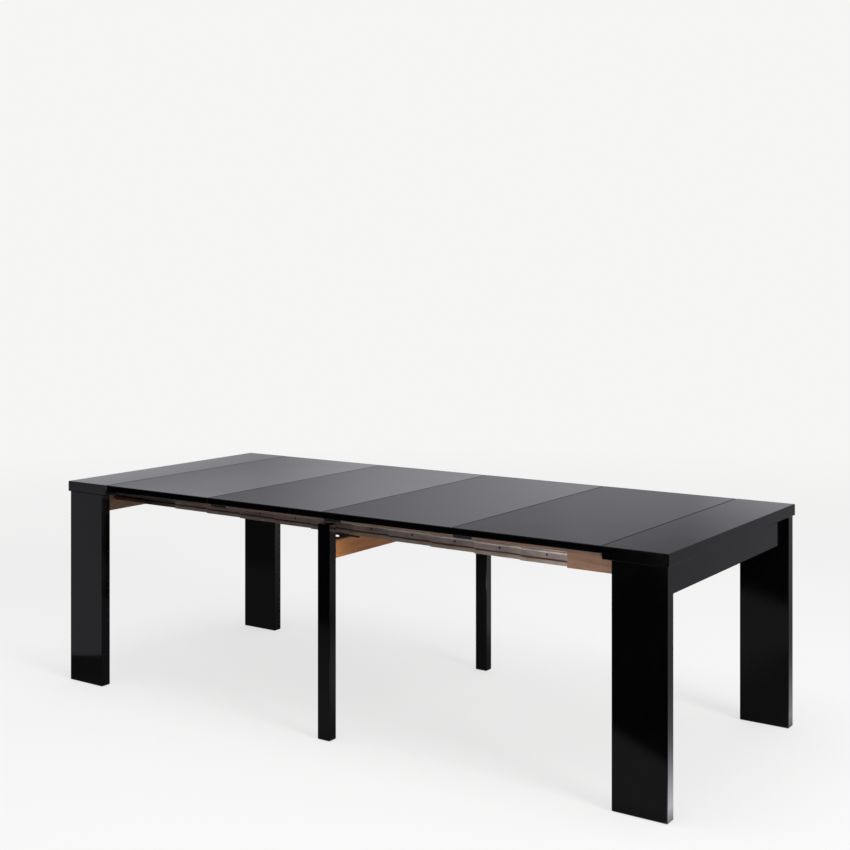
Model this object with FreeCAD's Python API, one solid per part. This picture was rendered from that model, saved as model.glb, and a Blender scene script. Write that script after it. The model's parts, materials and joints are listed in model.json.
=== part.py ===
import FreeCAD, Part
import os

# Extending console table, stored fully drawn out with its four leaves laid in.
# X runs along the extension, Y across the width, Z up; the origin is on the
# floor under the middle of the table. The near side is -Y. Millimetres.

V = FreeCAD.Vector

# Table top
TABLE_HEIGHT = 750.0
TABLE_WIDTH = 1026.0
END_TOP_DEPTH = 206.0
END_TOP_THICKNESS = 38.0
LEAF_LENGTH = 505.5
LEAF_THICKNESS = 22.0
LEAF_EDGE_INSET = 2.0
LEAF_SEAM = 1.8
END_SEAM = 2.2
CLOSED_SEAM = 0.6
EDGE_EASE = 2.0

# Leaf battens
LEFT_BATTEN_WIDTH = 42.0
RIGHT_BATTEN_WIDTH = 21.0
BATTEN_SEAM_INSET = 1.0
BATTEN_END_INSET = 41.0

# End frames
TOP_OVERHANG = 6.0
LEG_WIDTH = 172.0
LEG_THICKNESS = 40.0
APRON_THICKNESS = 22.0
APRON_HEIGHT = 92.0
BACKING_THICKNESS = 8.0
BACKING_RISE = 2.0
BOARD_THICKNESS = 13.0
BOARD_LEG_CLEARANCE = 0.6

# Glides under the legs
GLIDE_THICKNESS = 2.0
GLIDE_RADIUS = 12.0
GLIDE_EDGE_DISTANCE = 28.0
CENTRE_GLIDE_RADIUS = 11.0

# Telescopic rails: every half has the same number of sliding stages
STAGES = 6
RAIL_LENGTH = 270.0
RAIL_END_CLEARANCE = 15.3
RAIL_HEIGHT = 47.6
RAIL_TOP_CLEARANCE = 0.4
RAIL_WEB = 2.6
RAIL_RUN_CLEARANCE = 0.6
TONGUE_HEAD = 2.8
TONGUE_BASE = 16.5
TONGUE_HEIGHT = 21.0
NECK_HEIGHT = 10.0
CHANNEL_WALL = 1.8
CHANNEL_LIP = 2.6
RIM_WALL = 2.0
RIM_FLANGE = 2.2
RIM_HEIGHT = 11.5
STOP_HOLE_RADIUS = 4.0
STOP_HOLE_DISTANCE = 92.0

# Centre frame
CENTRE_LEG_WIDTH = 50.0
CENTRE_LEG_THICKNESS = 36.0
CENTRE_LEG_TOP_GAP = 4.0
CENTRE_LEG_INSET = 0.2
CROSSBEAM_THICKNESS = 30.0
CROSSBEAM_HEIGHT = 60.0
CROSSBEAM_DROP = 13.0
BRACKET_WALL = 3.0
BRACKET_WIDTH = 24.0
BRACKET_LENGTH = 45.0
BRACKET_RAIL_GAP = 3.0
FOOT_PLATE_LENGTH = 132.0
FOOT_PLATE_THICKNESS = 9.0

# Positions that follow from the sizes above
HALF_WIDTH = TABLE_WIDTH / 2
LEAF_GAP_HALF = LEAF_SEAM / 2
END_INNER_X = LEAF_GAP_HALF + 2 * LEAF_LENGTH + LEAF_SEAM + END_SEAM
END_OUTER_X = END_INNER_X + END_TOP_DEPTH
TRAVEL = END_INNER_X - CLOSED_SEAM / 2
END_UNDERSIDE = TABLE_HEIGHT - END_TOP_THICKNESS
LEAF_UNDERSIDE = TABLE_HEIGHT - LEAF_THICKNESS
RAIL_TOP = END_UNDERSIDE - RAIL_TOP_CLEARANCE
RAIL_BOTTOM = RAIL_TOP - RAIL_HEIGHT

LEG_OUTER_X = END_OUTER_X - TOP_OVERHANG
LEG_INNER_X = LEG_OUTER_X - LEG_WIDTH
LEG_OUTER_Y = HALF_WIDTH - TOP_OVERHANG
LEG_INNER_Y = LEG_OUTER_Y - LEG_THICKNESS
BACKING_INNER_X = TRAVEL + RAIL_LENGTH / 2 + RAIL_END_CLEARANCE
APRON_INNER_X = BACKING_INNER_X + BACKING_THICKNESS
APRON_OUTER_X = APRON_INNER_X + APRON_THICKNESS
APRON_BOTTOM = END_UNDERSIDE - APRON_HEIGHT

BOARD_OUTER_Y = LEG_INNER_Y - BOARD_LEG_CLEARANCE
FIRST_WEB_Y = BOARD_OUTER_Y - BOARD_THICKNESS
NECK_LENGTH = CHANNEL_LIP + 2 * RAIL_RUN_CLEARANCE
RIM_REACH = TONGUE_HEAD + NECK_LENGTH
RAIL_PITCH = RAIL_WEB + RAIL_RUN_CLEARANCE + RIM_REACH
STAGE_STEP = TRAVEL / STAGES

CROSSBEAM_TOP = RAIL_BOTTOM - CROSSBEAM_DROP
CENTRE_LEG_INNER_Y = LEG_INNER_Y + CENTRE_LEG_INSET
CENTRE_LEG_OUTER_Y = CENTRE_LEG_INNER_Y + CENTRE_LEG_THICKNESS
CENTRE_LEG_TOP = END_UNDERSIDE - CENTRE_LEG_TOP_GAP


def block(x0, x1, y0, y1, z0, z1):
    """Plain box between two corners."""
    return Part.makeBox(x1 - x0, y1 - y0, z1 - z0, V(x0, y0, z0))


def lacquered(x0, x1, y0, y1, z0, z1):
    """Panel whose edges are eased with a narrow chamfer before lacquering."""
    panel = block(x0, x1, y0, y1, z0, z1)
    return panel.makeChamfer(EDGE_EASE, panel.Edges)


def to_far_side(shape):
    """Mirror image on the far long side."""
    return shape.mirror(V(0, 0, 0), V(0, 1, 0))


def to_left_end(shape):
    """Mirror image on the left end."""
    return shape.mirror(V(0, 0, 0), V(1, 0, 0))


def end_top():
    return lacquered(END_INNER_X, END_OUTER_X, -HALF_WIDTH, HALF_WIDTH, END_UNDERSIDE, TABLE_HEIGHT)


def plank_leg():
    """Near plank leg of the right end."""
    return lacquered(
        LEG_INNER_X, LEG_OUTER_X, -LEG_OUTER_Y, -LEG_INNER_Y, GLIDE_THICKNESS, END_UNDERSIDE)


def apron():
    """Lacquered rail between the two plank legs, set back from their faces."""
    return lacquered(
        APRON_INNER_X, APRON_OUTER_X, -LEG_INNER_Y, LEG_INNER_Y, APRON_BOTTOM, END_UNDERSIDE)


def apron_backing():
    """Bare wood stiffener glued behind the apron."""
    return block(
        BACKING_INNER_X, APRON_INNER_X, -LEG_INNER_Y, LEG_INNER_Y,
        APRON_BOTTOM + BACKING_RISE, END_UNDERSIDE)


def leg_glides():
    """Four discs, two under each plank leg of the right end."""
    discs = []
    for x in (LEG_INNER_X + GLIDE_EDGE_DISTANCE, LEG_OUTER_X - GLIDE_EDGE_DISTANCE):
        for side in (-1, 1):
            y = side * (LEG_INNER_Y + LEG_OUTER_Y) / 2
            discs.append(Part.makeCylinder(GLIDE_RADIUS, GLIDE_THICKNESS, V(x, y, 0)))
    return Part.makeCompound(discs)


def leaf_start(number):
    """Left edge of a leaf, counted from the left end."""
    return -END_INNER_X + END_SEAM + (number - 1) * (LEAF_LENGTH + LEAF_SEAM)


def leaf_panel(number):
    x0 = leaf_start(number)
    half = HALF_WIDTH - LEAF_EDGE_INSET
    return lacquered(x0, x0 + LEAF_LENGTH, -half, half, LEAF_UNDERSIDE, TABLE_HEIGHT)


def leaf_battens(number):
    """Cross battens that carry the leaf on the rails, a wide and a narrow one at its seams."""
    x0 = leaf_start(number) + BATTEN_SEAM_INSET
    x1 = leaf_start(number) + LEAF_LENGTH - BATTEN_SEAM_INSET
    half = HALF_WIDTH - LEAF_EDGE_INSET - BATTEN_END_INSET
    bottom = RAIL_TOP + RAIL_TOP_CLEARANCE
    return Part.makeCompound([
        block(x0, x0 + LEFT_BATTEN_WIDTH, -half, half, bottom, LEAF_UNDERSIDE),
        block(x1 - RIGHT_BATTEN_WIDTH, x1, -half, half, bottom, LEAF_UNDERSIDE),
    ])


def web_y(index):
    """Distance of a rail's outer web face from the middle; 0 is the right end's rail."""
    return FIRST_WEB_Y - index * RAIL_PITCH


def rail_start(index):
    """Left end of a rail in the drawn-out table."""
    return (STAGES - index) * STAGE_STEP - RAIL_LENGTH / 2


def rail_outer_side():
    """Lower rim, T-shaped tongue and bare upper web, listed upwards (Y outwards is negative)."""
    mid = TONGUE_BASE + TONGUE_HEIGHT / 2
    neck_low = mid - NECK_HEIGHT / 2
    neck_high = mid + NECK_HEIGHT / 2
    rim_in = -RIM_REACH + RIM_WALL
    return [
        (-RIM_REACH, 0), (-RIM_REACH, RIM_HEIGHT),
        (rim_in, RIM_HEIGHT), (rim_in, RIM_FLANGE), (0, RIM_FLANGE),
        (0, neck_low), (-NECK_LENGTH, neck_low), (-NECK_LENGTH, TONGUE_BASE),
        (-RIM_REACH, TONGUE_BASE), (-RIM_REACH, TONGUE_BASE + TONGUE_HEIGHT),
        (-NECK_LENGTH, TONGUE_BASE + TONGUE_HEIGHT), (-NECK_LENGTH, neck_high), (0, neck_high),
        (0, RAIL_HEIGHT),
    ]


def rail_inner_side():
    """Channel with inturned lips that holds the next rail's tongue, listed downwards."""
    mid = TONGUE_BASE + TONGUE_HEIGHT / 2
    low = TONGUE_BASE - RAIL_RUN_CLEARANCE
    high = TONGUE_BASE + TONGUE_HEIGHT + RAIL_RUN_CLEARANCE
    lip_half = NECK_HEIGHT / 2 + RAIL_RUN_CLEARANCE
    lip_out = RAIL_WEB + TONGUE_HEAD + 2 * RAIL_RUN_CLEARANCE
    end = lip_out + CHANNEL_LIP
    return [
        (RAIL_WEB, RAIL_HEIGHT), (RAIL_WEB, high + CHANNEL_WALL), (end, high + CHANNEL_WALL),
        (end, mid + lip_half), (lip_out, mid + lip_half), (lip_out, high), (RAIL_WEB, high),
        (RAIL_WEB, low), (lip_out, low), (lip_out, mid - lip_half), (end, mid - lip_half),
        (end, low - CHANNEL_WALL), (RAIL_WEB, low - CHANNEL_WALL), (RAIL_WEB, 0),
    ]


def rail(index):
    """Near rail: the right end's has no tongue, the left end's has no channel."""
    has_tongue = index > 0
    has_channel = index < 2 * STAGES
    outer = rail_outer_side() if has_tongue else [(0, 0), (0, RAIL_HEIGHT)]
    inner = rail_inner_side() if has_channel else [(RAIL_WEB, RAIL_HEIGHT), (RAIL_WEB, 0)]
    x0 = rail_start(index)
    y0 = -web_y(index)
    points = [V(x0, y0 + y, RAIL_BOTTOM + z) for y, z in outer + inner]
    section = Part.Face(Part.makePolygon(points + points[:1]))
    bar = section.extrude(V(RAIL_LENGTH, 0, 0))
    if has_tongue:
        bar = bar.cut(stop_hole(x0, y0))
    return bar


def stop_hole(x0, y0):
    """Hole for the stop pin, through the tongue and the web."""
    z = RAIL_BOTTOM + TONGUE_BASE + TONGUE_HEIGHT / 2
    start = V(x0 + STOP_HOLE_DISTANCE, y0 - RIM_REACH, z)
    return Part.makeCylinder(STOP_HOLE_RADIUS, RIM_REACH + RAIL_WEB, start, V(0, 1, 0))


def right_rail_board():
    """Near board of the right end, outside its rails."""
    return block(
        rail_start(0), BACKING_INNER_X, -BOARD_OUTER_Y, -FIRST_WEB_Y, RAIL_BOTTOM, RAIL_TOP)


def left_rail_board():
    """Near board of the left end, inside its rails."""
    seat = -web_y(2 * STAGES) + RAIL_WEB
    return block(
        -BACKING_INNER_X, rail_start(2 * STAGES) + RAIL_LENGTH,
        seat, seat + BOARD_THICKNESS, RAIL_BOTTOM, RAIL_TOP)


def centre_leg():
    half = CENTRE_LEG_WIDTH / 2
    return lacquered(
        -half, half, -CENTRE_LEG_OUTER_Y, -CENTRE_LEG_INNER_Y, GLIDE_THICKNESS, CENTRE_LEG_TOP)


def crossbeam():
    """Wood beam between the centre legs, below the rails."""
    half = CROSSBEAM_THICKNESS / 2
    return lacquered(
        -half, half, -CENTRE_LEG_INNER_Y, CENTRE_LEG_INNER_Y,
        CROSSBEAM_TOP - CROSSBEAM_HEIGHT, CROSSBEAM_TOP)


def corner_bracket():
    """Steel angle on the crossbeam, with its upright flange on the near centre leg."""
    half = BRACKET_WIDTH / 2
    seat = -CENTRE_LEG_INNER_Y
    flat = block(-half, half, seat, seat + BRACKET_LENGTH, CROSSBEAM_TOP, CROSSBEAM_TOP + BRACKET_WALL)
    upright = block(
        -half, half, seat, seat + BRACKET_WALL, CROSSBEAM_TOP, RAIL_BOTTOM - BRACKET_RAIL_GAP)
    return flat.fuse(upright).removeSplitter()


def corner_brackets():
    near = corner_bracket()
    return Part.makeCompound([near, to_far_side(near)])


def rail_foot():
    """Spacer block on the crossbeam with a long plate under the near centre rail."""
    half = CROSSBEAM_THICKNESS / 2
    plate_half = FOOT_PLATE_LENGTH / 2
    outer = -web_y(STAGES) - RIM_REACH
    inner = -web_y(STAGES) + RAIL_WEB
    spacer = block(-half, half, outer, inner, CROSSBEAM_TOP, RAIL_BOTTOM)
    plate = block(-plate_half, plate_half, outer, inner, RAIL_BOTTOM - FOOT_PLATE_THICKNESS, RAIL_BOTTOM)
    return spacer.fuse(plate).removeSplitter()


def centre_glides():
    y = (CENTRE_LEG_INNER_Y + CENTRE_LEG_OUTER_Y) / 2
    return Part.makeCompound(
        [Part.makeCylinder(CENTRE_GLIDE_RADIUS, GLIDE_THICKNESS, V(0, s * y, 0)) for s in (-1, 1)])


def rail_name(index):
    """Right end, right stages down to 1, centre, left stages from 1, left end."""
    if index == 0:
        return "rail_right_end"
    if index < STAGES:
        return "rail_right_stage_%d" % (STAGES - index)
    if index == STAGES:
        return "rail_centre"
    if index < 2 * STAGES:
        return "rail_left_stage_%d" % (index - STAGES)
    return "rail_left_end"


def make_nodes():
    nodes = {}
    one_end = {
        "end_top": end_top(),
        "apron": apron(),
        "apron_backing": apron_backing(),
        "leg_near": plank_leg(),
        "leg_far": to_far_side(plank_leg()),
        "leg_glides": leg_glides(),
    }
    for name, shape in one_end.items():
        nodes["right_" + name] = shape
        nodes["left_" + name] = to_left_end(shape)
    for end, board in (("right", right_rail_board()), ("left", left_rail_board())):
        nodes[end + "_rail_board_near"] = board
        nodes[end + "_rail_board_far"] = to_far_side(board)
    for number in range(1, 5):
        nodes["leaf_%d_panel" % number] = leaf_panel(number)
        nodes["leaf_%d_battens" % number] = leaf_battens(number)
    for index in range(2 * STAGES + 1):
        near = rail(index)
        nodes[rail_name(index) + "_near"] = near
        nodes[rail_name(index) + "_far"] = to_far_side(near)
    nodes["centre_leg_near"] = centre_leg()
    nodes["centre_leg_far"] = to_far_side(centre_leg())
    nodes["centre_crossbeam"] = crossbeam()
    nodes["centre_corner_brackets"] = corner_brackets()
    nodes["centre_rail_foot_near"] = rail_foot()
    nodes["centre_rail_foot_far"] = to_far_side(rail_foot())
    nodes["centre_leg_glides"] = centre_glides()
    return nodes


def main():
    os.makedirs("parts", exist_ok=True)
    for name, shape in make_nodes().items():
        shape.exportStep("parts/%s.step" % name)
    print("travel of each end %.2f, rail pitch %.2f, rail bottom %.2f" % (TRAVEL, RAIL_PITCH, RAIL_BOTTOM))


main()
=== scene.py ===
import json
import math

import bmesh
import bpy
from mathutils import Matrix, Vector


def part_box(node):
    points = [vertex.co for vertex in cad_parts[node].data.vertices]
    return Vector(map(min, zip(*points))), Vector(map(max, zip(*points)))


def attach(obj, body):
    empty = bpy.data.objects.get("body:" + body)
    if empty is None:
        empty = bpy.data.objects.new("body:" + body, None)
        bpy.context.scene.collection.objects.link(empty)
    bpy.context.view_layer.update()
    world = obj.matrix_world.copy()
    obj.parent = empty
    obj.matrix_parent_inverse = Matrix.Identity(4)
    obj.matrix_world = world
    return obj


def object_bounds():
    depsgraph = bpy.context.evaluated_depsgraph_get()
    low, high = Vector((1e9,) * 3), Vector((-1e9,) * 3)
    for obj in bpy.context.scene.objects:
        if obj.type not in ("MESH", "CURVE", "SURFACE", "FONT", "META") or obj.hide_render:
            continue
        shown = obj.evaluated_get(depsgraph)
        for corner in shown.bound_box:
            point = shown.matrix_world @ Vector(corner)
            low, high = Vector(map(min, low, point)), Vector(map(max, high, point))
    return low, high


# Extending console table, drawn out: finishes, small hardware, studio and camera. Metres.

# Camera, read from the photograph's 850 x 850 frame
IMAGE_SIDE = 850
FOCAL_PIXELS = 1353.08
HORIZON_ROW = 282.85
CAMERA_PLACE = (2.77174, -3.96418, 1.49679)
CAMERA_HEADING = math.radians(34.39496)
SENSOR_WIDTH = 36.0

# Studio
BACKGROUND = 0.92
BACKGROUND_COLOUR = (1.0, 0.995, 0.99, 1.0)
FLOOR_COLOUR = (0.87, 0.865, 0.86, 1.0)
FLOOR_ROUGHNESS = 0.7
FLOOR_PALE = 1.0
FLOOR_PALE_SHARE = 0.66
FLOOR_HALF = 9.0
FLOOR_FADE_START = 3.2
FLOOR_FADE_END = 7.5
WORLD_LIGHT = 0.55
WORLD_COLOUR = (1.0, 1.0, 1.0, 1.0)
LAMPS = {
    "key_softbox": {
        "where": (8.0, -2.2, 3.2), "aim": (0.0, 0.0, 0.3), "size": (2.6, 2.0), "power": 420.0},
    "overhead_softbox": {
        "where": (0.3, -0.8, 4.2), "aim": (0.3, -0.8, 0.0), "size": (2.6, 2.2), "power": 50.0},
}

# What polished faces mirror: the floor's brightness across X in front of the table, under it and
# behind it, the light pool beside the right legs, the walls' brightness by the sine of their
# height angle, lighter and darker wall panels by the X of their direction, and two pale cards,
# with their brightness and corners. A line across the floor is a point, a slope and a softness.
# On the near side of the front lines PAST_FRONT of the brightness is left, and the light pool's
# share falls along Y.
FRONT_FLOOR = ((-1.2, 0.08), (-0.3, 0.2), (0.9, 0.27), (1.9, 0.25))
FRONT_LINES = (((1.01, -0.96), 0.68, 0.035), ((0.0, -1.68), 0.0, 0.05))
PAST_FRONT = 0.03
UNDER_FLOOR = (
    (-1.2, 0.13), (0.1, 0.13), (0.45, 0.32), (0.7, 0.28),
    (0.95, 0.14), (1.15, 0.14), (1.25, 0.24), (1.9, 0.24))
UNDER_LINE = ((0.0, -0.52), 0.0, 0.08)
BACK_FLOOR = (
    (-1.1, 0.0), (-0.9, 0.12), (-0.5, 0.26), (0.0, 0.33), (0.4, 0.5), (1.3, 0.5), (1.7, 0.2))
BACK_LINE = ((0.0, 0.62), 0.85, 0.12)
LIGHT_POOL = (
    (1.22, 0.0), (1.245, 2.6), (1.35, 1.6), (1.45, 0.6), (1.56, 0.25), (1.75, 0.1), (1.9, 0.0))
LIGHT_POOL_LINE = ((1.24, 0.82), 2.0, 0.08)
LIGHT_POOL_Y = (-0.35, 0.7)
LIGHT_POOL_SHARE = (1.35, 0.35)
FLOOR_TINT = (1.0, 0.99, 1.07, 1.0)
MIRRORED_WALLS = (
    (0.0, 0.82), (0.087, 0.72), (0.148, 0.55), (0.199, 0.29),
    (0.276, 0.17), (0.5, 0.4), (0.87, 0.7), (1.0, 1.6))
WALL_RADIUS = 40.0
WALL_SEGMENTS = 48
WALL_RINGS = 24
WALL_PANELS = (
    (-0.85, 1.0), (-0.75, 1.15), (-0.66, 0.8), (-0.6, 1.05),
    (-0.45, 1.05), (-0.37, 0.8), (-0.3, 1.3), (-0.2, 1.0))
FRONT_WALL_SHARE = 0.25
FRONT_WALL_TURN = (-0.3, 0.2)
WALL_TINT = (1.0, 0.985, 1.07)
CARDS = {
    "left_card": ((0.455, 0.45, 0.5), (
        (-1.62, -0.640, 0.0), (-1.35, -0.820, 0.0), (-1.35, -0.820, 0.71), (-1.62, -0.640, 0.71))),
    "front_card": ((10.5, 10.5, 10.5), (
        (0.3, -2.5, 0.38), (1.9, -2.5, 0.38), (1.9, -2.5, 0.74), (0.3, -2.5, 0.74))),
}

# The part of its 0 to 1 range that most of a noise lies in
NOISE_BAND = (0.3, 0.7)

# Lacquer, and the bare fibre on the undersides; lengths of relief are in metres
LACQUER_COLOURS = ((0.3, (0.0007, 0.0007, 0.0008)), (0.8, (0.0014, 0.0014, 0.0016)))
LACQUER_ROUGHNESS = (0.05, 0.11)
LACQUER_SPECULAR = 0.35
HAZE_SCALE = 7.0
PEEL_SCALE = 420.0
PEEL_DEPTH = 0.000004
FIBRE_SCALE = 240.0
FIBRE_COLOURS = ((0.3, (0.10, 0.045, 0.022)), (0.75, (0.22, 0.11, 0.06)))
FIBRE_ROUGHNESS = 0.6
FACING_DOWN = (-0.9, -0.8)

# Where the dark and light colours of a speckled finish lie on its grit
GRIT_STOPS = (0.3, 0.8)

# Wood: its dark, middle and light colours, where they lie on the grain, and the grain itself
BOARD_COLOURS = ((0.225, 0.106, 0.056), (0.35, 0.184, 0.104), (0.465, 0.25, 0.15))
STRIP_COLOURS = ((0.12, 0.070, 0.046), (0.19, 0.118, 0.082), (0.26, 0.165, 0.12))
BACKING_COLOURS = ((0.15, 0.078, 0.045), (0.235, 0.135, 0.083), (0.31, 0.185, 0.12))
BEAM_COLOURS = ((0.30, 0.105, 0.028), (0.43, 0.165, 0.048), (0.53, 0.23, 0.075))
GRAIN_STOPS = (0.30, 0.5, 0.72)
GRAIN_STRETCH = 9.0
FIGURE_SCALE = 9.0
FIGURE_SHARE = 0.7
PORE_SCALE = 70.0
PORE_SHARE = 0.3
PORE_DEPTH = 0.00025
SMOOTHEST_WOOD = -0.08
ROUGHEST_WOOD = 0.1
WOOD_SPECULAR = 0.4

# Rail metal: die lines along it, a film over it, and its colour by height on the section, which
# is rim, groove, tongue face, the tongue's top edge, web, the web's top edge. It is all one metal: the
# lighter rim and both top edges are painted highlights, the dark groove is painted shade, and the
# brown web is a painted warm reflection
DIE_LINE_STRETCH = 60.0
DIE_LINE_SCALE = 14.0
DIE_LINE_DEPTH = 0.00006
FILM_STRETCH = 3.0
FILM_SCALE = 16.0
FILM_SHADE = (0.75, 1.2)
RAIL_ROUGHNESS = (0.36, 0.5)
RAIL_PAINTED_LIGHT_BANDS = (
    (0.6640, (0.58, 0.47, 0.39)), (0.6750, (0.58, 0.47, 0.39)), (0.6756, (0.22, 0.12, 0.085)),
    (0.6804, (0.22, 0.12, 0.085)), (0.6810, (0.44, 0.365, 0.335)), (0.6965, (0.46, 0.385, 0.355)),
    (0.6972, (0.90, 0.82, 0.77)), (0.7015, (0.90, 0.82, 0.77)), (0.7020, (0.52, 0.38, 0.29)),
    (0.7085, (0.52, 0.38, 0.29)), (0.7092, (0.80, 0.62, 0.50)), (0.7116, (0.80, 0.62, 0.50)))

# On each long side, the two rails nearest the left end get painted shade: their share of that
# brightness
LEFT_RAIL_PAINTED_SHADE = 0.45

# A leaf sags slightly between its battens, which shows in its gloss alone
LEAF_SAG = 0.002

# Numbers of the leaves, from the left
LEAVES = range(1, 5)

# Brown strips under the long edges of a leaf, between its battens, and their brightness by X:
# painted shade, darker towards the left end and lighter towards the right
STRIP_OUTER_Y = 0.470
STRIP_INNER_Y = 0.452
STRIP_LIFT = 0.0002
STRIP_END_GAP = 0.0005
STRIP_EASE = 0.0008
STRIP_EASE_SEGMENTS = 2
STRIP_PAINTED_SHADE = ((-0.74, 0.15), (-0.68, 0.5), (-0.2, 0.9), (0.5, 1.3))
LEFT_BATTEN_WIDTH = 0.042
RIGHT_BATTEN_WIDTH = 0.021

# Small hardware: turned profiles as (radius, height) in metres, and where it sits; a stop pin's
# place is along its rail and up from the rail's lower edge
PAN_HEAD = ((0.0040, 0.0), (0.0040, 0.0008), (0.0034, 0.0017), (0.0023, 0.0022))
FLUSH_HEAD = ((0.0030, -0.0015), (0.0042, -0.0001), (0.0041, 0.0001), (0.0030, 0.0002))
STOP_PIN = ((0.0036, -0.0075), (0.0037, -0.0073), (0.0037, -0.0005), (0.0031, 0.0))
SOCKET_SIDES = 6
SOCKET_RADIUS = 0.0017
SOCKET_DEPTH = 0.0012
TURNED_SIDES = 24
SHARP_ANGLE = math.radians(35)
STOP_PIN_PLACE = (0.092, 0.027)
STOP_PIN_RECESS = 0.0012
BATTEN_SCREW_ROWS = (-0.30, -0.15, 0.0, 0.15, 0.30)
BRACKET_FLANGE = 0.003
BRACKET_SCREW_ROWS = (0.016, 0.035)
BOARD_SCREW_COLUMNS = (0.035, 0.14, 0.25)

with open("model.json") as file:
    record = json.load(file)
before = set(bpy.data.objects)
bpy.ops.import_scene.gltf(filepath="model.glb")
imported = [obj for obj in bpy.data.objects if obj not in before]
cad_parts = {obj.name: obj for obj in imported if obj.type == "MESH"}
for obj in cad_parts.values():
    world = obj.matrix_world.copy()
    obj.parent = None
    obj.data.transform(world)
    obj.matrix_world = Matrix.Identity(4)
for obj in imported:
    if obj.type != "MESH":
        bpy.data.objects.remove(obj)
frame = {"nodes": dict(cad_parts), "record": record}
CAD_LOW, CAD_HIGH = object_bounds()
NODES = frame["nodes"]


# Node helpers

def put(tree, socket, value):
    """Give a socket a value, or link it where the value is another socket."""
    if isinstance(value, bpy.types.NodeSocket):
        tree.links.new(value, socket)
    else:
        socket.default_value = value


def add(tree, kind, values=None, **settings):
    """New shader node with its settings and socket values."""
    made = tree.nodes.new("ShaderNode" + kind)
    for key, value in settings.items():
        setattr(made, key, value)
    for key, value in (values or {}).items():
        put(tree, made.inputs[key], value)
    return made


def material(name):
    """New material, its node tree and its surface shader."""
    made = bpy.data.materials.new(name)
    made.use_nodes = True
    return made, made.node_tree, made.node_tree.nodes["Principled BSDF"]


def place(tree, scale=(1.0, 1.0, 1.0)):
    """Position on the table, stretched along the axes; it moves with the piece."""
    source = add(tree, "TexCoord")
    return add(tree, "Mapping", {"Vector": source.outputs["Object"], "Scale": scale}).outputs[0]


def noise(tree, where, scale, detail=2.0, roughness=0.5, distortion=0.0):
    """Soft noise from 0 to 1; roughness is how much its finer detail counts."""
    return add(tree, "TexNoise", {
        "Vector": where, "Scale": scale, "Detail": detail, "Roughness": roughness,
        "Distortion": distortion}).outputs["Fac"]


def spread(tree, value, low, high, start=0.0, end=1.0):
    """Map a value from start..end to low..high."""
    return add(tree, "MapRange", {
        "Value": value, "From Min": start, "From Max": end,
        "To Min": low, "To Max": high}).outputs[0]


def ramp(tree, value, *stops):
    """Colour ramp through (position, colour) stops."""
    made = add(tree, "ValToRGB", {"Fac": value})
    points = made.color_ramp.elements
    while len(points) < len(stops):
        points.new(1.0)
    for point, (position, colour) in zip(points, stops):
        point.position = position
        point.color = (*colour, 1.0)
    return made.outputs["Color"]


def maths(tree, operation, first, second):
    """One sum on two values or sockets."""
    made = add(tree, "Math", operation=operation)
    put(tree, made.inputs[0], first)
    put(tree, made.inputs[1], second)
    return made.outputs[0]


def times(tree, first, second):
    """Product of two colours, or of a colour and a brightness."""
    return add(tree, "VectorMath", {0: first, 1: second}, operation="MULTIPLY").outputs["Vector"]


def grey_ramp(tree, value, stops):
    """Brightness through (position, brightness) stops; a ramp itself holds no more than 1."""
    top = max(grey for position, grey in stops)
    shares = [(position, (grey / top, grey / top, grey / top)) for position, grey in stops]
    return maths(tree, "MULTIPLY", ramp(tree, value, *shares), top)


def across(tree, axes, stops, half=FLOOR_HALF):
    """Brightness by X from -half to half, through (x, brightness) stops."""
    share = spread(tree, axes.outputs["X"], 0.0, 1.0, -half, half)
    return grey_ramp(tree, share, [((x / half + 1) / 2, grey) for x, grey in stops])


def bump(tree, shader, height, distance):
    """Relief of that depth in metres."""
    made = add(tree, "Bump", {"Height": height, "Distance": distance, "Strength": 1.0})
    put(tree, shader.inputs["Normal"], made.outputs["Normal"])


# Finishes

def leaf_sag(tree, where):
    """Height of a leaf's surface above its middle, by the place along the leaf."""
    first_low, first_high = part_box("leaf_1_panel")
    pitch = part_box("leaf_2_panel")[0][0] - first_low[0]
    start = (first_low[0] + first_high[0] - pitch) / 2
    along = add(tree, "SeparateXYZ", {0: where}).outputs["X"]
    leaf = maths(tree, "DIVIDE", maths(tree, "SUBTRACT", along, start), pitch)
    from_middle = maths(tree, "SUBTRACT", maths(tree, "FLOORED_MODULO", leaf, 1.0), 0.5)
    return maths(tree, "MULTIPLY", maths(tree, "MULTIPLY", from_middle, from_middle), 4 * LEAF_SAG)


def lacquer(name, bare_underside=False, sagging=False):
    """Polished black lacquer: faint orange peel and slow haze in the gloss."""
    made, tree, shader = material(name)
    where = place(tree)
    haze = noise(tree, where, HAZE_SCALE, detail=4.0, roughness=0.6)
    peel = noise(tree, where, PEEL_SCALE, detail=1.0)
    colour = ramp(tree, haze, *LACQUER_COLOURS)
    roughness = spread(tree, haze, *LACQUER_ROUGHNESS, *NOISE_BAND)
    if bare_underside:
        fibre = noise(tree, where, FIBRE_SCALE, detail=5.0, roughness=0.7)
        brown = ramp(tree, fibre, *FIBRE_COLOURS)
        up = add(tree, "SeparateXYZ", {0: add(tree, "TexCoord").outputs["Normal"]}).outputs["Z"]
        bare = spread(tree, up, 1.0, 0.0, *FACING_DOWN)
        colour = add(tree, "MixRGB", {0: bare, 1: colour, 2: brown}).outputs[0]
        roughness = maths(tree, "ADD", roughness, maths(tree, "MULTIPLY", bare, FIBRE_ROUGHNESS))
    put(tree, shader.inputs["Base Color"], colour)
    put(tree, shader.inputs["Roughness"], roughness)
    shader.inputs["Specular IOR Level"].default_value = LACQUER_SPECULAR
    relief = maths(tree, "MULTIPLY", peel, PEEL_DEPTH)
    if sagging:
        relief = maths(tree, "ADD", relief, leaf_sag(tree, where))
    bump(tree, shader, relief, 1.0)
    return made


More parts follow.
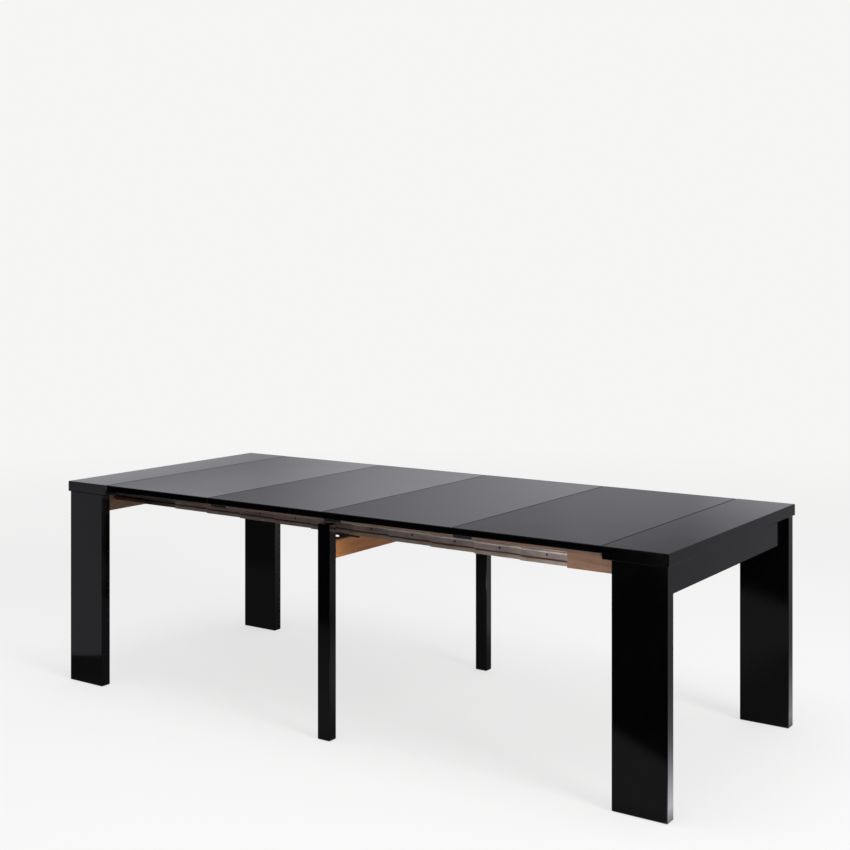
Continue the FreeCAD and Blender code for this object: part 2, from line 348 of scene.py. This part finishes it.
def speckled(name, scale, dark, light, roughness, depth):
    """Dark finish with a fine grit in its colour, gloss and relief."""
    made, tree, shader = material(name)
    grit = noise(tree, place(tree), scale, detail=3.0)
    put(tree, shader.inputs["Base Color"], ramp(tree, grit, *zip(GRIT_STOPS, (dark, light))))
    put(tree, shader.inputs["Roughness"], spread(tree, grit, *roughness))
    bump(tree, shader, grit, depth)
    return made


def wood(name, stretch, dark, middle, light, roughness, painted_shade=None):
    """Wood with its grain along the axis of least stretch; painted shade, when given, sets its
    brightness by X.
    """
    made, tree, shader = material(name)
    where = place(tree, stretch)
    figure = noise(tree, where, FIGURE_SCALE, detail=5.0, roughness=0.6, distortion=0.6)
    pores = noise(tree, where, PORE_SCALE, detail=3.0, roughness=0.65)
    broad = maths(tree, "MULTIPLY", figure, FIGURE_SHARE)
    grain = maths(tree, "ADD", broad, maths(tree, "MULTIPLY", pores, PORE_SHARE))
    colour = ramp(tree, grain, *zip(GRAIN_STOPS, (dark, middle, light)))
    if painted_shade:
        axes = add(tree, "SeparateXYZ", {0: place(tree)})
        shade = across(tree, axes, painted_shade, half=CAD_HIGH[0])
        colour = times(tree, colour, shade)
    put(tree, shader.inputs["Base Color"], colour)
    gloss = spread(tree, pores, roughness + SMOOTHEST_WOOD, roughness + ROUGHEST_WOOD)
    put(tree, shader.inputs["Roughness"], gloss)
    shader.inputs["Specular IOR Level"].default_value = WOOD_SPECULAR
    bump(tree, shader, pores, PORE_DEPTH)
    return made


def aluminium(name, brightness=1.0):
    """Mill-finish extrusion with die lines, a random film, and painted light and shade by height."""
    made, tree, shader = material(name)
    along = place(tree, (1.0, DIE_LINE_STRETCH, DIE_LINE_STRETCH))
    lines = noise(tree, along, DIE_LINE_SCALE, detail=4.0, roughness=0.65)
    smear = place(tree, (1.0, FILM_STRETCH, FILM_STRETCH))
    film = noise(tree, smear, FILM_SCALE, detail=3.0, roughness=0.6)
    height = add(tree, "SeparateXYZ", {0: place(tree)}).outputs["Z"]
    low, high = RAIL_PAINTED_LIGHT_BANDS[0][0], RAIL_PAINTED_LIGHT_BANDS[-1][0]
    stops = [((level - low) / (high - low), colour) for level, colour in RAIL_PAINTED_LIGHT_BANDS]
    # Painted highlights on the rim and top edges, painted shade in the groove, painted reflection on
    # the web
    bands = ramp(tree, spread(tree, height, 0.0, 1.0, low, high), *stops)
    darkest, lightest = FILM_SHADE
    shade = spread(tree, film, darkest * brightness, lightest * brightness, *NOISE_BAND)
    put(tree, shader.inputs["Base Color"], times(tree, bands, shade))
    put(tree, shader.inputs["Roughness"], spread(tree, lines, *RAIL_ROUGHNESS, *NOISE_BAND))
    shader.inputs["Metallic"].default_value = 1.0
    bump(tree, shader, lines, DIE_LINE_DEPTH)
    return made


def dress_nodes():
    """Give every solid the finish of its material slot, or a special one by its name."""
    along_x = (1.0, GRAIN_STRETCH, GRAIN_STRETCH)
    along_y = (GRAIN_STRETCH, 1.0, GRAIN_STRETCH)
    finishes = {
        "black_lacquer": lacquer("polished_black_lacquer"),
        "black_batten": speckled(
            "satin_black_board", scale=60.0, dark=(0.010, 0.010, 0.010), light=(0.022, 0.021, 0.020),
            roughness=(0.35, 0.55), depth=0.0001),
        "bare_wood": wood("bare_brown_board", along_x, *BOARD_COLOURS, roughness=0.62),
        "beam_wood": wood("varnished_beam", along_y, *BEAM_COLOURS, roughness=0.42),
        "rail_aluminium": aluminium("mill_finish_aluminium"),
        "black_steel": speckled(
            "black_powder_coat", scale=900.0, dark=(0.010, 0.010, 0.010), light=(0.02, 0.02, 0.02),
            roughness=(0.42, 0.58), depth=0.00012),
        "glide_felt": speckled(
            "dark_glide_plastic", scale=500.0, dark=(0.02, 0.02, 0.02), light=(0.045, 0.043, 0.04),
            roughness=(0.6, 0.8), depth=0.0001),
    }
    # Painted shade: on each side, the two rails nearest the left end are drawn darker
    greasy = aluminium("greasy_aluminium", LEFT_RAIL_PAINTED_SHADE)
    special = {
        "rail_left_end": greasy,
        "rail_left_stage_5": greasy,
        "apron_backing": wood("bare_brown_backing", along_y, *BACKING_COLOURS, roughness=0.62),
        "panel": lacquer("polished_black_leaf", bare_underside=True, sagging=True),
        "end_top": lacquer("polished_black_top", bare_underside=True),
    }
    for name, piece in NODES.items():
        finish = finishes[piece.data.materials[0].name]
        for part, other in special.items():
            if name.startswith(part) or name.endswith(part):
                finish = other
        piece.data.materials[0] = finish
    # Painted shade on the strips: darker towards the left end, lighter towards the right
    finishes["strip"] = wood(
        "bare_brown_strip", along_x, *STRIP_COLOURS, roughness=0.66, painted_shade=STRIP_PAINTED_SHADE)
    return finishes


# Strips and small hardware

def make_leaf_strips(finish):
    """Brown strips under the leaves, with eased edges."""
    for number in LEAVES:
        name = "leaf_%d_edge_strips" % number
        low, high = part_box("leaf_%d_battens" % number)
        start = low[0] + LEFT_BATTEN_WIDTH + STRIP_END_GAP
        end = high[0] - RIGHT_BATTEN_WIDTH - STRIP_END_GAP
        shape = bmesh.new()
        for side in (-1, 1):
            middle = side * (STRIP_OUTER_Y + STRIP_INNER_Y) / 2
            bar = bmesh.ops.create_cube(shape, size=1.0)["verts"]
            size = (end - start, STRIP_OUTER_Y - STRIP_INNER_Y, high[2] - low[2] - STRIP_LIFT)
            bmesh.ops.scale(shape, vec=size, verts=bar)
            where = ((start + end) / 2, middle, (low[2] + STRIP_LIFT + high[2]) / 2)
            bmesh.ops.translate(shape, vec=where, verts=bar)
        bmesh.ops.bevel(
            shape, geom=shape.edges[:], offset=STRIP_EASE, segments=STRIP_EASE_SEGMENTS,
            profile=0.5, affect="EDGES")
        mesh = bpy.data.meshes.new(name)
        shape.to_mesh(mesh)
        shape.free()
        mesh.materials.append(finish)
        piece = bpy.data.objects.new(name, mesh)
        bpy.context.scene.collection.objects.link(piece)
        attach(piece, "leaf_%d" % number)


def socket_ring(turn):
    """Six-sided drive recess: its radius at a turn from 0 to 1."""
    along_side = (turn * SOCKET_SIDES) % 1.0
    half_side = math.pi / SOCKET_SIDES
    return SOCKET_RADIUS * math.cos(half_side) / math.cos((2 * along_side - 1) * half_side)


def turned_mesh(name, profile, spots):
    """One mesh of turned heads with a drive recess, each at a spot and facing a direction."""
    points = []
    faces = []
    rings = [(lambda turn, r=radius: r, height) for radius, height in profile]
    top = profile[-1][1]
    rings += [(socket_ring, top), (socket_ring, top - SOCKET_DEPTH)]
    for spot, direction in spots:
        facing = Vector(direction).to_track_quat("Z", "Y")
        first = len(points)
        for radius_at, height in rings:
            for side in range(TURNED_SIDES):
                turn = side / TURNED_SIDES
                radius = radius_at(turn)
                angle = 2 * math.pi * turn
                local = Vector((radius * math.cos(angle), radius * math.sin(angle), height))
                points.append(Vector(spot) + facing @ local)
        for ring in range(len(rings) - 1):
            low = first + ring * TURNED_SIDES
            for side in range(TURNED_SIDES):
                after = (side + 1) % TURNED_SIDES
                high = low + TURNED_SIDES
                faces.append((low + side, low + after, high + after, high + side))
        faces.append(tuple(range(first + TURNED_SIDES - 1, first - 1, -1)))
        faces.append(tuple(range(len(points) - TURNED_SIDES, len(points))))
    mesh = bpy.data.meshes.new(name)
    mesh.from_pydata(points, [], faces)
    mesh.shade_smooth()
    mesh.set_sharp_from_angle(angle=SHARP_ANGLE)
    return mesh


def hardware(name, body, finish, profile, spots):
    """Screws or pins as one piece that rides on a body."""
    piece = bpy.data.objects.new(name, turned_mesh(name, profile, spots))
    bpy.context.scene.collection.objects.link(piece)
    piece.data.materials.append(finish)
    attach(piece, body)


def both_sides(spots):
    """The spots and their mirror images on the far side."""
    return spots + [((x, -y, z), (i, -j, k)) for (x, y, z), (i, j, k) in spots]


def make_stop_pins(finish):
    """Sunk pins in the stop holes of every rail that has a tongue."""
    along, up = STOP_PIN_PLACE
    for body, nodes in frame["record"]["behaviour"]["bodies"].items():
        for node in nodes:
            if node.startswith("rail_") and node.endswith("_near") and node != "rail_right_end_near":
                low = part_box(node)[0]
                spot = (low[0] + along, low[1] + STOP_PIN_RECESS, low[2] + up)
                hardware(body + "_stop_pins", body, finish, STOP_PIN, both_sides([(spot, (0, -1, 0))]))


def make_screws(finish):
    """Flush screws under the battens, pan heads on the brackets and the left boards."""
    for number in LEAVES:
        low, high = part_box("leaf_%d_battens" % number)
        columns = (low[0] + LEFT_BATTEN_WIDTH / 2, high[0] - RIGHT_BATTEN_WIDTH / 2)
        spots = [((x, y, low[2]), (0, 0, -1)) for x in columns for y in BATTEN_SCREW_ROWS]
        hardware("leaf_%d_batten_screws" % number, "leaf_%d" % number, finish, FLUSH_HEAD, spots)
    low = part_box("centre_corner_brackets")[0]
    spots = [((0, low[1] + row, low[2] + BRACKET_FLANGE), (0, 0, 1)) for row in BRACKET_SCREW_ROWS]
    hardware("bracket_screws", "centre_frame", finish, PAN_HEAD, both_sides(spots))
    low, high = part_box("left_rail_board_near")
    middle = (low[2] + high[2]) / 2
    spots = [((low[0] + column, high[1], middle), (0, 1, 0)) for column in BOARD_SCREW_COLUMNS]
    hardware("left_board_screws", "left_end", finish, PAN_HEAD, both_sides(spots))


# Studio

def make_floor():
    """Pale floor that fades into the background; polished faces see the mirrored floor instead."""
    half = FLOOR_HALF
    mesh = bpy.data.meshes.new("floor")
    corners = [(-half, -half, 0.0), (half, -half, 0.0), (half, half, 0.0), (-half, half, 0.0)]
    mesh.from_pydata(corners, [], [(0, 1, 2, 3)])
    floor = bpy.data.objects.new("floor", mesh)
    bpy.context.scene.collection.objects.link(floor)
    made, tree, shader = material("pale_floor")
    shader.inputs["Base Color"].default_value = FLOOR_COLOUR
    shader.inputs["Roughness"].default_value = FLOOR_ROUGHNESS
    shader.inputs["Specular IOR Level"].default_value = 0.0
    ray = add(tree, "LightPath")
    pale = add(tree, "Emission", {"Strength": FLOOR_PALE})
    share = maths(tree, "MULTIPLY", ray.outputs["Is Camera Ray"], FLOOR_PALE_SHARE)
    lit = add(tree, "MixShader", {0: share, 1: shader.outputs[0], 2: pale.outputs[0]})
    distance = add(tree, "VectorMath", {0: place(tree)}, operation="LENGTH").outputs["Value"]
    fade = spread(tree, distance, 0.0, 1.0, FLOOR_FADE_START, FLOOR_FADE_END)
    faded = add(tree, "MixShader", {
        0: fade, 1: lit.outputs[0], 2: add(tree, "BsdfTransparent").outputs[0]})
    mix = add(tree, "MixShader", {
        0: ray.outputs["Is Glossy Ray"], 1: faded.outputs[0], 2: mirrored_floor(tree)})
    tree.links.new(mix.outputs[0], tree.nodes["Material Output"].inputs["Surface"])
    mesh.materials.append(made)


def beyond(tree, axes, line):
    """0 on the near side of a line across the floor, 1 on the far side."""
    (line_x, line_y), slope, softness = line
    rise = maths(tree, "MULTIPLY", maths(tree, "SUBTRACT", axes.outputs["X"], line_x), slope)
    past = maths(tree, "SUBTRACT", maths(tree, "SUBTRACT", axes.outputs["Y"], line_y), rise)
    return spread(tree, past, 0.0, 1.0, -softness, softness)


def mirrored_floor(tree):
    """The floor as polished faces show it."""
    axes = add(tree, "SeparateXYZ", {0: place(tree)})
    lines = [beyond(tree, axes, line) for line in FRONT_LINES]
    near = spread(tree, maths(tree, "MULTIPLY", *lines), PAST_FRONT, 1.0)
    front = maths(tree, "MULTIPLY", across(tree, axes, FRONT_FLOOR), near)
    under = maths(tree, "SUBTRACT", across(tree, axes, UNDER_FLOOR), front)
    plain = maths(tree, "ADD", front, maths(tree, "MULTIPLY", under, beyond(tree, axes, UNDER_LINE)))
    back = maths(tree, "MULTIPLY", across(tree, axes, BACK_FLOOR), beyond(tree, axes, BACK_LINE))
    fading = spread(tree, axes.outputs["Y"], *LIGHT_POOL_SHARE, *LIGHT_POOL_Y)
    within = maths(tree, "MULTIPLY", near, spread(tree, beyond(tree, axes, LIGHT_POOL_LINE), 1.0, 0.0))
    pool = maths(tree, "MULTIPLY", fading, within)
    pool = maths(tree, "MULTIPLY", across(tree, axes, LIGHT_POOL), pool)
    strength = maths(tree, "ADD", maths(tree, "MAXIMUM", plain, back), pool)
    return add(tree, "Emission", {"Color": FLOOR_TINT, "Strength": strength}).outputs[0]


def only_mirrored(piece):
    """Stage piece that polished faces show and nothing else sees."""
    piece.visible_camera = False
    piece.visible_diffuse = False
    piece.visible_transmission = False
    piece.visible_shadow = False


def glow_finish(name, colour_of):
    """Plain glowing finish, its brightness from a function of the node tree."""
    made, tree, shader = material(name)
    glow = add(tree, "Emission", {"Color": colour_of(tree)})
    tree.nodes.remove(shader)
    tree.links.new(glow.outputs[0], tree.nodes["Material Output"].inputs["Surface"])
    return made


def wall_brightness(tree):
    """The walls by height and by panel, dimmer behind the photographer."""
    towards = add(tree, "VectorMath", {0: place(tree)}, operation="NORMALIZE").outputs["Vector"]
    axes = add(tree, "SeparateXYZ", {0: towards})
    share = spread(tree, axes.outputs["Y"], FRONT_WALL_SHARE, 1.0, *FRONT_WALL_TURN)
    bright = grey_ramp(tree, axes.outputs["Z"], MIRRORED_WALLS)
    bright = maths(tree, "MULTIPLY", bright, across(tree, axes, WALL_PANELS, half=1.0))
    return times(tree, times(tree, bright, WALL_TINT), share)


def make_mirrored_room():
    """Studio walls with their ceiling, and the pale cards."""
    bpy.ops.mesh.primitive_uv_sphere_add(
        radius=WALL_RADIUS, segments=WALL_SEGMENTS, ring_count=WALL_RINGS)
    walls = bpy.context.object
    walls.name = "studio_walls"
    walls.data.materials.append(glow_finish("mirrored_walls", wall_brightness))
    only_mirrored(walls)
    for name, (colour, corners) in CARDS.items():
        mesh = bpy.data.meshes.new(name)
        mesh.from_pydata(corners, [], [(0, 1, 2, 3)])
        card = bpy.data.objects.new(name, mesh)
        bpy.context.scene.collection.objects.link(card)
        mesh.materials.append(glow_finish(name, lambda tree: (*colour, 1.0)))
        only_mirrored(card)


def make_world():
    """Pale background for what is seen, plain soft light for what is lit."""
    world = bpy.data.worlds.new("studio")
    bpy.context.scene.world = world
    world.use_nodes = True
    tree = world.node_tree
    light = tree.nodes["Background"]
    light.inputs["Color"].default_value = WORLD_COLOUR
    light.inputs["Strength"].default_value = WORLD_LIGHT
    backdrop = add(tree, "Background", {"Color": BACKGROUND_COLOUR, "Strength": BACKGROUND})
    ray = add(tree, "LightPath")
    seen = maths(tree, "MAXIMUM", ray.outputs["Is Camera Ray"], ray.outputs["Is Glossy Ray"])
    seen = maths(tree, "MAXIMUM", seen, ray.outputs["Is Transmission Ray"])
    mix = add(tree, "MixShader", {0: seen, 1: light.outputs[0], 2: backdrop.outputs[0]})
    tree.links.new(mix.outputs[0], tree.nodes["World Output"].inputs["Surface"])


def make_lamp(name, where, aim, size, power):
    """Soft box at a place, facing a point; polished faces show the room and not the lamp."""
    data = bpy.data.lights.new(name, "AREA")
    data.shape = "RECTANGLE"
    data.size, data.size_y = size
    data.energy = power
    lamp = bpy.data.objects.new(name, data)
    lamp.visible_glossy = False
    lamp.location = where
    lamp.rotation_euler = (Vector(aim) - Vector(where)).to_track_quat("-Z", "Y").to_euler()
    bpy.context.scene.collection.objects.link(lamp)


def make_camera():
    """The photograph's camera: level, with its horizon off the middle by a lens shift."""
    data = bpy.data.cameras.new("camera")
    data.sensor_width = SENSOR_WIDTH
    data.lens = SENSOR_WIDTH * FOCAL_PIXELS / IMAGE_SIDE
    data.shift_y = HORIZON_ROW / IMAGE_SIDE - 0.5
    camera = bpy.data.objects.new("camera", data)
    camera.location = CAMERA_PLACE
    camera.rotation_euler = (math.pi / 2, 0.0, CAMERA_HEADING)
    bpy.context.scene.collection.objects.link(camera)
    bpy.context.scene.camera = camera


FINISHES = dress_nodes()
make_leaf_strips(FINISHES["strip"])
make_stop_pins(FINISHES["black_steel"])
make_screws(FINISHES["black_steel"])
make_floor()
make_mirrored_room()
make_world()
for lamp_name, lamp in LAMPS.items():
    make_lamp(lamp_name, **lamp)
make_camera()
bpy.context.scene.view_settings.view_transform = "Standard"
